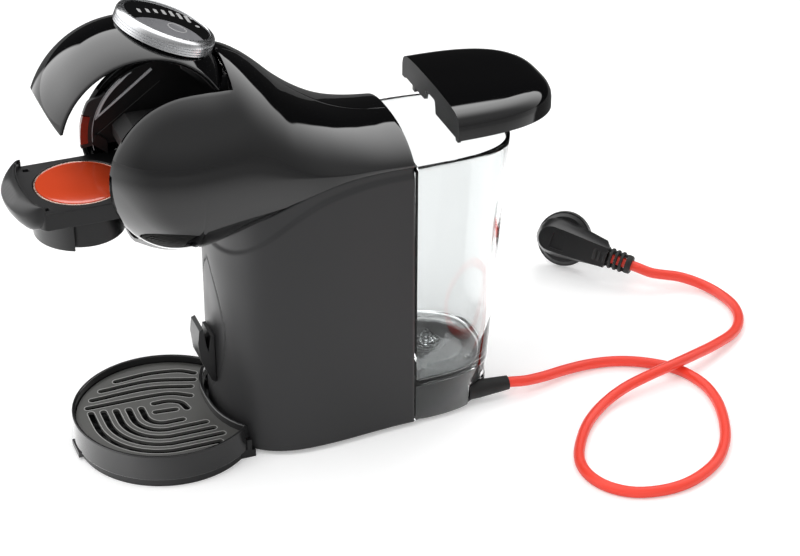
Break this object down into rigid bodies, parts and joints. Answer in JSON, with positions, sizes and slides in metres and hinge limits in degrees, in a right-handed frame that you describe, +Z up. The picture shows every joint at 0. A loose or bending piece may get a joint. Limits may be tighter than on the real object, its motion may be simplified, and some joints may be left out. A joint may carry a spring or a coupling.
{
  "type": "pod coffee machine",
  "caption": "Compact capsule coffee machine with a round head, top lever with dial, sliding capsule drawer, round drip tray, clear rear water tank and mains lead.",
  "frame": {"origin": "centre of the middle foot pad on the worktop, under the column", "axes": "+Z up, -Y towards the front of the machine (drip tray and drawer side), +X across it"},
  "size_m": [0.2958, 0.4926, 0.2944],
  "materials": {
    "gloss_black": "gloss",
    "satin_black": "satin",
    "matte_black": "matte",
    "dark_grey": "satin",
    "rubber_black": "matte",
    "brushed_ring": "knurled",
    "silver_trim": "satin",
    "smoked_red": "gloss",
    "clear_tank": "clear",
    "steel": "polished",
    "cast_metal": "cast",
    "white_hose": "matte",
    "circuit_green": "gloss",
    "foil_orange": "gloss",
    "capsule_brown": "satin",
    "cord_red": "satin",
    "seal_silicone": "matte",
    "white_valve": "satin"
  },
  "bodies": {
    "machine": {"base_plate": "matte_black", "rubber_feet": "rubber_black", "column_shell": "satin_black", "front_panel": "satin_black", "tray_hook": "dark_grey", "cowl_left": "gloss_black", "cowl_right": "gloss_black", "chin_grille": "matte_black", "frame_cheeks": "matte_black", "silver_inlay": "silver_trim", "indicator_window": "smoked_red", "drawer_rails": "matte_black", "drawer_guide": "silver_trim", "lever_pin": "steel", "jaw_rods": "steel", "rear_wall": "matte_black", "tank_coupler": "dark_grey", "coupler_seal": "seal_silicone", "tank_seat": "satin_black", "chassis_frame": "dark_grey", "water_pump": "cast_metal", "pump_mounts": "rubber_black", "heater_block": "cast_metal", "flow_meter": "white_valve", "water_hoses": "white_hose", "control_board": "circuit_green", "lever_switch": "matte_black", "case_screws": "steel", "cord_grommet": "rubber_black", "power_cord": "cord_red", "plug_body": "dark_grey", "plug_pins": "steel", "plug_relief": "rubber_black"},
    "lever": {"lever_shell": "gloss_black", "lever_liner": "matte_black", "lever_arms": "matte_black", "dial_base": "matte_black", "dial_face": "gloss_black"},
    "dial": {"dial_ring": "brushed_ring"},
    "button": {"start_button": "silver_trim"},
    "jaw": {"jaw_block": "matte_black", "jaw_seal": "seal_silicone", "needle": "steel"},
    "drawer": {"drawer_body": "satin_black", "drawer_cup": "satin_black", "drawer_grip": "satin_black", "grip_guard": "satin_black"},
    "capsule": {"capsule_cup": "capsule_brown", "capsule_foil": "foil_orange"},
    "tray": {"tray_bowl": "gloss_black", "tray_stand": "satin_black"},
    "grid": {"tray_grid": "dark_grey"},
    "tank": {"tank_shell": "clear_tank", "valve_spring": "steel"},
    "valve": {"tank_valve": "white_valve"},
    "lid": {"lid_shell": "gloss_black", "lid_liner": "satin_black"}
  },
  "joints": [
    {"name": "lever_hinge", "type": "hinge", "parent": "machine", "child": "lever", "pos_m": [0, -0.028, 0.2465], "axis": [-1, 0, 0], "range_deg": [-24, 0]},
    {"name": "jaw_slide", "type": "slide", "parent": "machine", "child": "jaw", "axis": [0, 0, 1], "range_m": [-0.008, 0]},
    {"name": "dial_turn", "type": "hinge", "parent": "lever", "child": "dial", "pos_m": [0, -0.0612, 0.2829], "axis": [0, 0.3972, 0.9178], "range_deg": [-105, 105]},
    {"name": "start_press", "type": "slide", "parent": "lever", "child": "button", "axis": [0, -0.3972, -0.9178], "range_m": [0, 0.0008], "stiffness_N_per_m": 300, "springref_m": -0.001},
    {"name": "drawer_slide", "type": "slide", "parent": "machine", "child": "drawer", "axis": [0, -1, 0], "range_m": [-0.0433, 0.006]},
    {"name": "capsule_lift", "type": "slide", "parent": "drawer", "child": "capsule", "axis": [0, 0, 1], "range_m": [0, 0.028]},
    {"name": "tray_slide", "type": "slide", "parent": "machine", "child": "tray", "axis": [0, -1, 0], "range_m": [0, 0.12]},
    {"name": "grid_lift", "type": "slide", "parent": "tray", "child": "grid", "axis": [0, 0, 1], "range_m": [0, 0.018]},
    {"name": "tank_lift", "type": "slide", "parent": "machine", "child": "tank", "axis": [0, 0, 1], "range_m": [0, 0.05]},
    {"name": "valve_press", "type": "slide", "parent": "tank", "child": "valve", "axis": [0, 0, 1], "range_m": [0, 0.0025], "stiffness_N_per_m": 200, "springref_m": -0.002, "deforming": ["valve_spring"]},
    {"name": "lid_slide", "type": "slide", "parent": "tank", "child": "lid", "axis": [0, -0.901, -0.4338], "range_m": [0, 0.0297]}
  ],
  "couplings": [
    {"joint": "jaw_slide", "follows": "lever_hinge", "m_per_rad": 0.019099}
  ]
}
